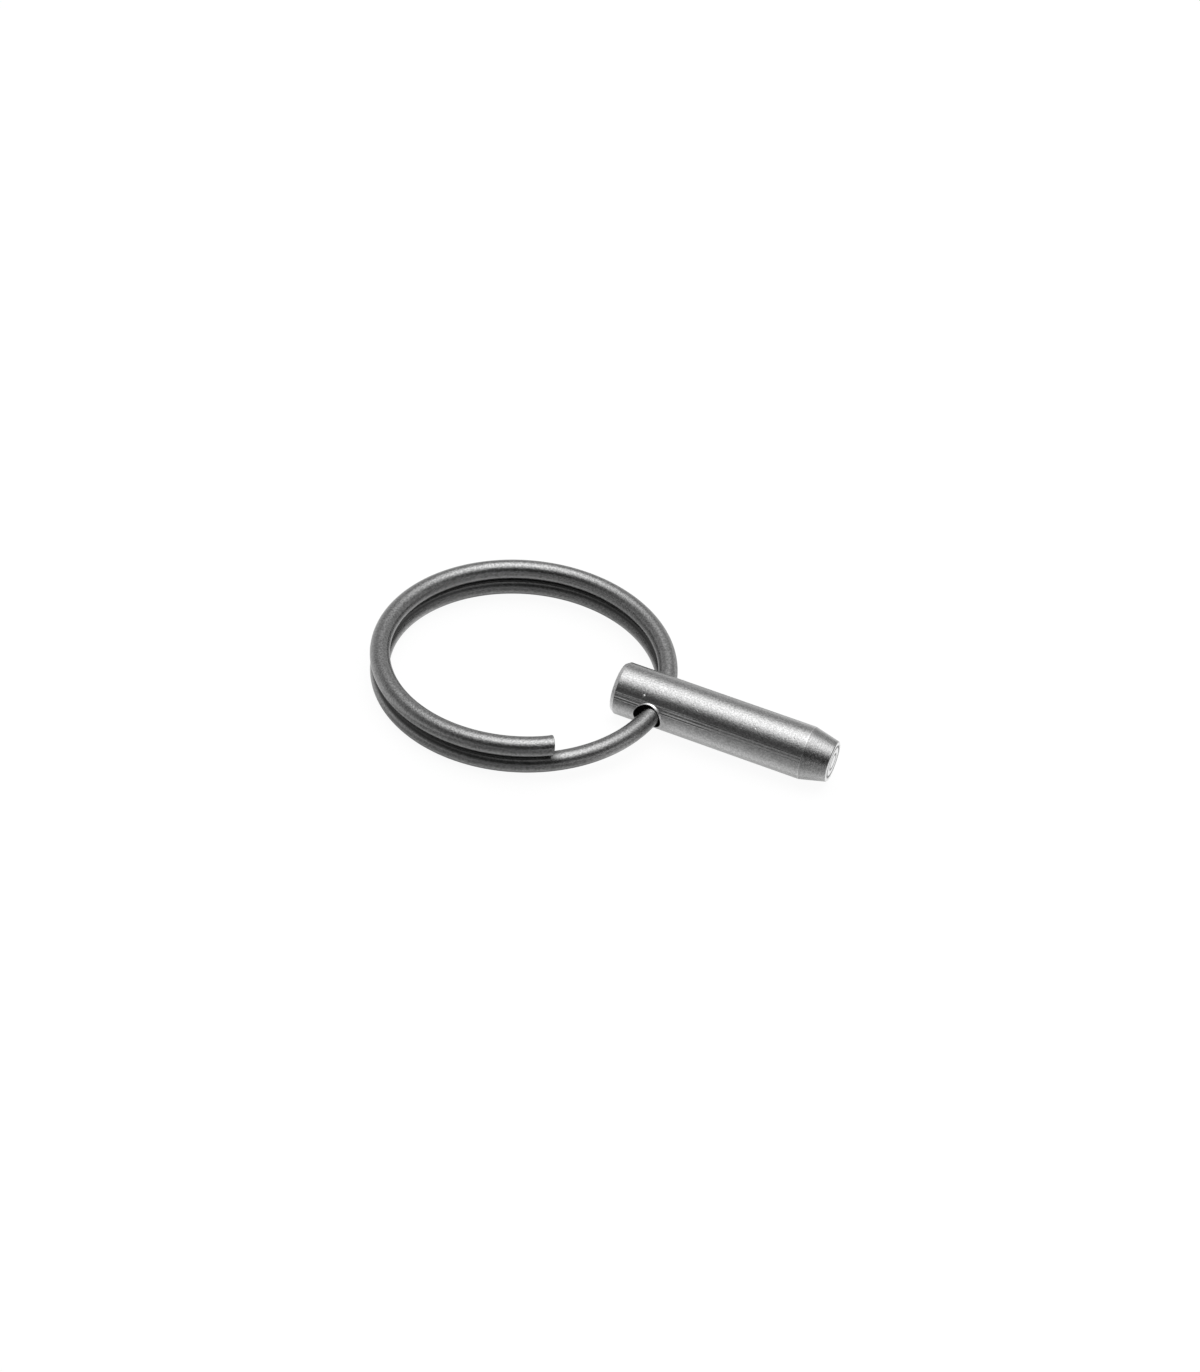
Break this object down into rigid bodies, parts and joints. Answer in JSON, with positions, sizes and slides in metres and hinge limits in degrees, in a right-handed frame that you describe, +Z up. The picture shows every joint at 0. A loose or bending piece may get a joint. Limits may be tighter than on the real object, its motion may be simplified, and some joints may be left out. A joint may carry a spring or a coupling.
{
  "type": "locking pin with split ring",
  "caption": "Turned steel locking pin with a tapered lead-in tip and a close-wound spring-wire split ring through its cross hole.",
  "frame": {"origin": "on the surface that the part lies on, below the middle of its outline", "axes": "+X along the pin from its head to its tip, +Z up from the surface, and the ring lies towards -X"},
  "size_m": [0.0534, 0.0342, 0.006],
  "materials": {
    "turned_steel": "bright drawn bar, turned at the tip",
    "spring_steel_wire": "dark satin drawn wire"
  },
  "bodies": {
    "pin": {"pin": "turned_steel"},
    "ring": {"split_ring": "spring_steel_wire"}
  },
  "joints": [
    {"name": "ring_swing", "type": "hinge", "parent": "pin", "child": "ring", "pos_m": [0.006, 0.00126, 0.003], "axis": [0, 0.9877, 0.1564], "continuous": true}
  ]
}
